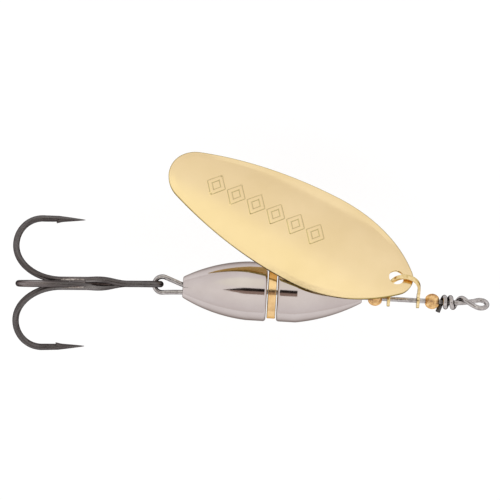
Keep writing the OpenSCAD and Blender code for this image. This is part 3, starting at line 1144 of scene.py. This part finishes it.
def stainless_wire():
    """Drawn stainless wire: long die lines and small scuffs."""
    f = Finish("stainless_wire", edge=(0.02, 0.018, 0.017))
    lines = f.noise(1.0, detail=3, stretch=(0.5, 9, 1), output="UV")
    scuffs = f.noise(1700, detail=5, roughness=0.7)
    stops = [(0.28, (0.31, 0.285, 0.28)), (0.5, (0.43, 0.40, 0.395)), (0.72, (0.62, 0.59, 0.58))]
    drawn = f.ramp(f.spread(f.add_up(lines, scuffs), 0.0, 1.0, 0.6, 1.4), stops)
    # painted shade: this dark colour goes where the wraps touch the shaft and on the tag end, and a
    # little on the hook's loop
    painted_shade = f.ramp(scuffs, [(0.3, (0.02, 0.018, 0.017)), (0.7, (0.14, 0.13, 0.125))])
    f.colour(f.mix(f.painted("stain_and_shade"), drawn, painted_shade))
    f.rough(f.spread(scuffs, 0.12, 0.22))
    f.bump((lines, 0.01, 0.35), (scuffs, 0.004, 0.25))
    return f.material


def hook_steel():
    """Dark bronzed steel: draw lines, fine speckle, and lighter streaks along the wire painted in
    as highlights.
    """
    f = Finish("hook_steel", edge=(0.06, 0.055, 0.055))
    lines = f.noise(1.0, detail=3, stretch=(0.35, 7, 1), output="UV")
    speckle = f.noise(3800, detail=4, roughness=0.7)
    patches = f.noise(330, detail=4)
    base = f.ramp(speckle, [(0.3, (0.10, 0.09, 0.09)), (0.7, (0.21, 0.19, 0.19))])
    warm = f.ramp(lines, [(0.32, (0.07, 0.055, 0.054)), (0.68, (0.37, 0.31, 0.30))])
    bands = f.noise(1.0, detail=2, stretch=(0.1, 1.4, 1), output="UV")
    # painted highlight: lighter streaks along the wire, standing in for reflections
    painted_highlight_streaks = f.ramp(speckle, [(0.32, (0.26, 0.24, 0.237)), (0.68, (0.43, 0.405, 0.40))])
    dark = f.ramp(lines, [(0.32, (0.022, 0.02, 0.02)), (0.68, (0.055, 0.05, 0.05))])
    bronzed = f.mix(f.spread(patches, 0.25, 0.85), base, warm)
    steel = f.mix(f.spread(bands, 0.0, 0.85, 0.46, 0.58), bronzed, painted_highlight_streaks)
    f.colour(f.mix(f.painted("stain_and_shade"), steel, dark))
    f.rough(f.spread(speckle, 0.22, 0.36))
    f.bump((lines, 0.03, 0.6), (speckle, 0.012, 0.4))
    return f.material


def braze_metal():
    """Silver-brown braze left rough by its flux, under the same bronzing."""
    f = Finish("braze_metal", edge=(0.4, 0.36, 0.34))
    flux = f.noise(1500, detail=6, roughness=0.7)
    stops = [(0.3, (0.11, 0.09, 0.08)), (0.5, (0.29, 0.25, 0.23)), (0.66, (0.68, 0.63, 0.59))]
    # painted shade: the braze in the twist takes this dark colour, for the shade in its groove
    painted_shade = f.ramp(flux, [(0.3, (0.02, 0.015, 0.014)), (0.7, (0.09, 0.06, 0.055))])
    f.colour(f.mix(f.painted("stain_and_shade"), f.ramp(flux, stops), painted_shade))
    f.rough(f.spread(flux, 0.55, 0.3))
    f.bump((flux, 0.08, 0.7))
    return f.material


# ---------------------------------------------------------------- stage, light and camera


LURE_MIDDLE = Vector((-0.045, 0, 0))
VIEW_MIDDLE = Vector((-0.04365, 0.00776, 0.0))
VIEW_ROLL = 3.3
PANEL_TOWARDS = Vector((-0.16, 0.56, 0.81))
PANEL_EDGE, PANEL_CORE = 27, 5  # degrees from the panel's middle to where it ends and is full


def plain_surface(name, colour, glow=0.0):
    """A dull material for the floor and the cards; glow is the strength of its own white light."""
    material = bpy.data.materials.new(name)
    material.use_nodes = True
    shader = material.node_tree.nodes["Principled BSDF"]
    shader.inputs["Base Color"].default_value = (*colour, 1)
    shader.inputs["Roughness"].default_value = 0.9
    shader.inputs["Specular IOR Level"].default_value = 0.0
    shader.inputs["Emission Color"].default_value = (1.0, 1.0, 1.0, 1)
    shader.inputs["Emission Strength"].default_value = glow
    return material


def stage_sheet(name, corners, material):
    """A flat sheet of the stage, which isn't part of the lure."""
    mesh = bpy.data.meshes.new(name)
    mesh.from_pydata(corners, [], [tuple(range(len(corners)))])
    mesh.materials.append(material)
    obj = bpy.data.objects.new(name, mesh)
    bpy.context.scene.collection.objects.link(obj)


def floor():
    """A pale light table, far enough under the lure for its treble to swing down and clear it."""
    drop, half = 0.03, 3.0
    low = cad_box[0].z - drop
    corners = [(-half, -half, low), (half, -half, low), (half, half, low), (-half, half, low)]
    stage_sheet("floor", corners, plain_surface("floor_glass", (0.35, 0.35, 0.36), glow=0.67))


def dark_cards():
    """Two narrow cards over the camera, which polished rounds show as a dark and brown streak."""
    height, back, slant, front, width = 0.72, -0.40, -0.18, 0.12, 0.15
    cards = (("dark_card", 1, (0.02, 0.014, 0.012)), ("brown_card", -1, (0.34, 0.25, 0.21)))
    for name, side, tone in cards:
        corners = [
            (back, 0.0, height),
            (front, 0.0, height),
            (front, side * width, height),
            (slant, side * width, height),
        ]
        stage_sheet(name, corners, plain_surface(name + "_paper", tone))


def soft_light(name, place, size, watts):
    """A large white panel aimed at the lure, which the metal doesn't reflect."""
    data = bpy.data.lights.new(name, "AREA")
    data.shape = "RECTANGLE"
    data.size, data.size_y = size
    data.energy = watts
    light = bpy.data.objects.new(name, data)
    light.location = place
    light.rotation_euler = (LURE_MIDDLE - Vector(place)).to_track_quat("-Z", "Y").to_euler()
    light.visible_glossy = False
    bpy.context.scene.collection.objects.link(light)


def surroundings():
    """Even pale surroundings, a little darker towards the horizon, with one soft warm panel."""
    world = bpy.data.worlds.new("studio")
    bpy.context.scene.world = world
    world.use_nodes = True
    tree = world.node_tree
    background = tree.nodes["Background"]
    coords = tree.nodes.new("ShaderNodeTexCoord")
    split = tree.nodes.new("ShaderNodeSeparateXYZ")
    ramp = tree.nodes.new("ShaderNodeValToRGB")
    elements = ramp.color_ramp.elements
    elements[0].position, elements[0].color = 0.0, (0.82, 0.795, 0.785, 1)
    elements[1].position, elements[1].color = 1.0, (1.03, 1.015, 0.985, 1)
    elements.new(0.3).color = (0.89, 0.87, 0.87, 1)
    elements.new(0.62).color = (0.93, 0.915, 0.90, 1)
    tree.links.new(coords.outputs["Generated"], split.inputs["Vector"])
    tree.links.new(split.outputs["Z"], ramp.inputs["Fac"])

    # how nearly a direction points at the panel
    aim = tree.nodes.new("ShaderNodeVectorMath")
    aim.operation = "DOT_PRODUCT"
    aim.inputs[1].default_value = PANEL_TOWARDS.normalized()
    tree.links.new(coords.outputs["Generated"], aim.inputs[0])
    panel = tree.nodes.new("ShaderNodeMapRange")
    panel.interpolation_type = "SMOOTHERSTEP"
    panel.inputs["From Min"].default_value = cos(PANEL_EDGE)
    panel.inputs["From Max"].default_value = cos(PANEL_CORE)
    tree.links.new(aim.outputs["Value"], panel.inputs["Value"])
    lit = tree.nodes.new("ShaderNodeMix")
    lit.data_type = "RGBA"
    lit.inputs[7].default_value = (1.05, 1.045, 0.95, 1)
    tree.links.new(panel.outputs["Result"], lit.inputs[0])
    tree.links.new(ramp.outputs["Color"], lit.inputs[6])
    tree.links.new(lit.outputs[2], background.inputs["Color"])
    background.inputs["Strength"].default_value = 1.08


def camera():
    """Straight down on the lure, rolled so that its shaft falls a little to the right."""
    data = bpy.data.cameras.new("camera")
    distance, view_width = 0.6, 0.095
    data.sensor_width = 36.0
    data.lens = data.sensor_width * distance / view_width
    data.dof.use_dof = False
    cam = bpy.data.objects.new("camera", data)
    cam.location = VIEW_MIDDLE + Vector((0, 0, distance))
    cam.rotation_euler = (0, 0, math.radians(VIEW_ROLL))
    bpy.context.scene.collection.objects.link(cam)
    bpy.context.scene.camera = cam


def build():
    """Every piece of the lure, from the line eye back to the treble."""
    wire, brass, gold = stainless_wire(), bead_brass(), blade_gold()
    nickel, hooks = body_nickel(), hook_steel()
    shaft_wire(wire)
    bead("front_bead_turned", "front_bead", FRONT_BEAD_X, brass)
    clevis(clevis_gold())
    blade(gold)
    bead("rear_bead_turned", "rear_bead", REAR_BEAD_X, brass)
    front_body(nickel)
    band_ring(ring_brass())
    rear_body(nickel)
    double_hook(hooks)
    single_hook(hooks)
    hook_braze(braze_metal())


build()
floor()
dark_cards()
surroundings()
soft_light("overhead", place=(-0.25, -0.3, 1.1), size=(1.2, 1.0), watts=1.6)
soft_light("fill", place=(0.5, 1.0, 0.8), size=(0.9, 0.6), watts=0.8)
camera()
bpy.context.scene.view_settings.view_transform = "Standard"

bpy.context.view_layer.update()
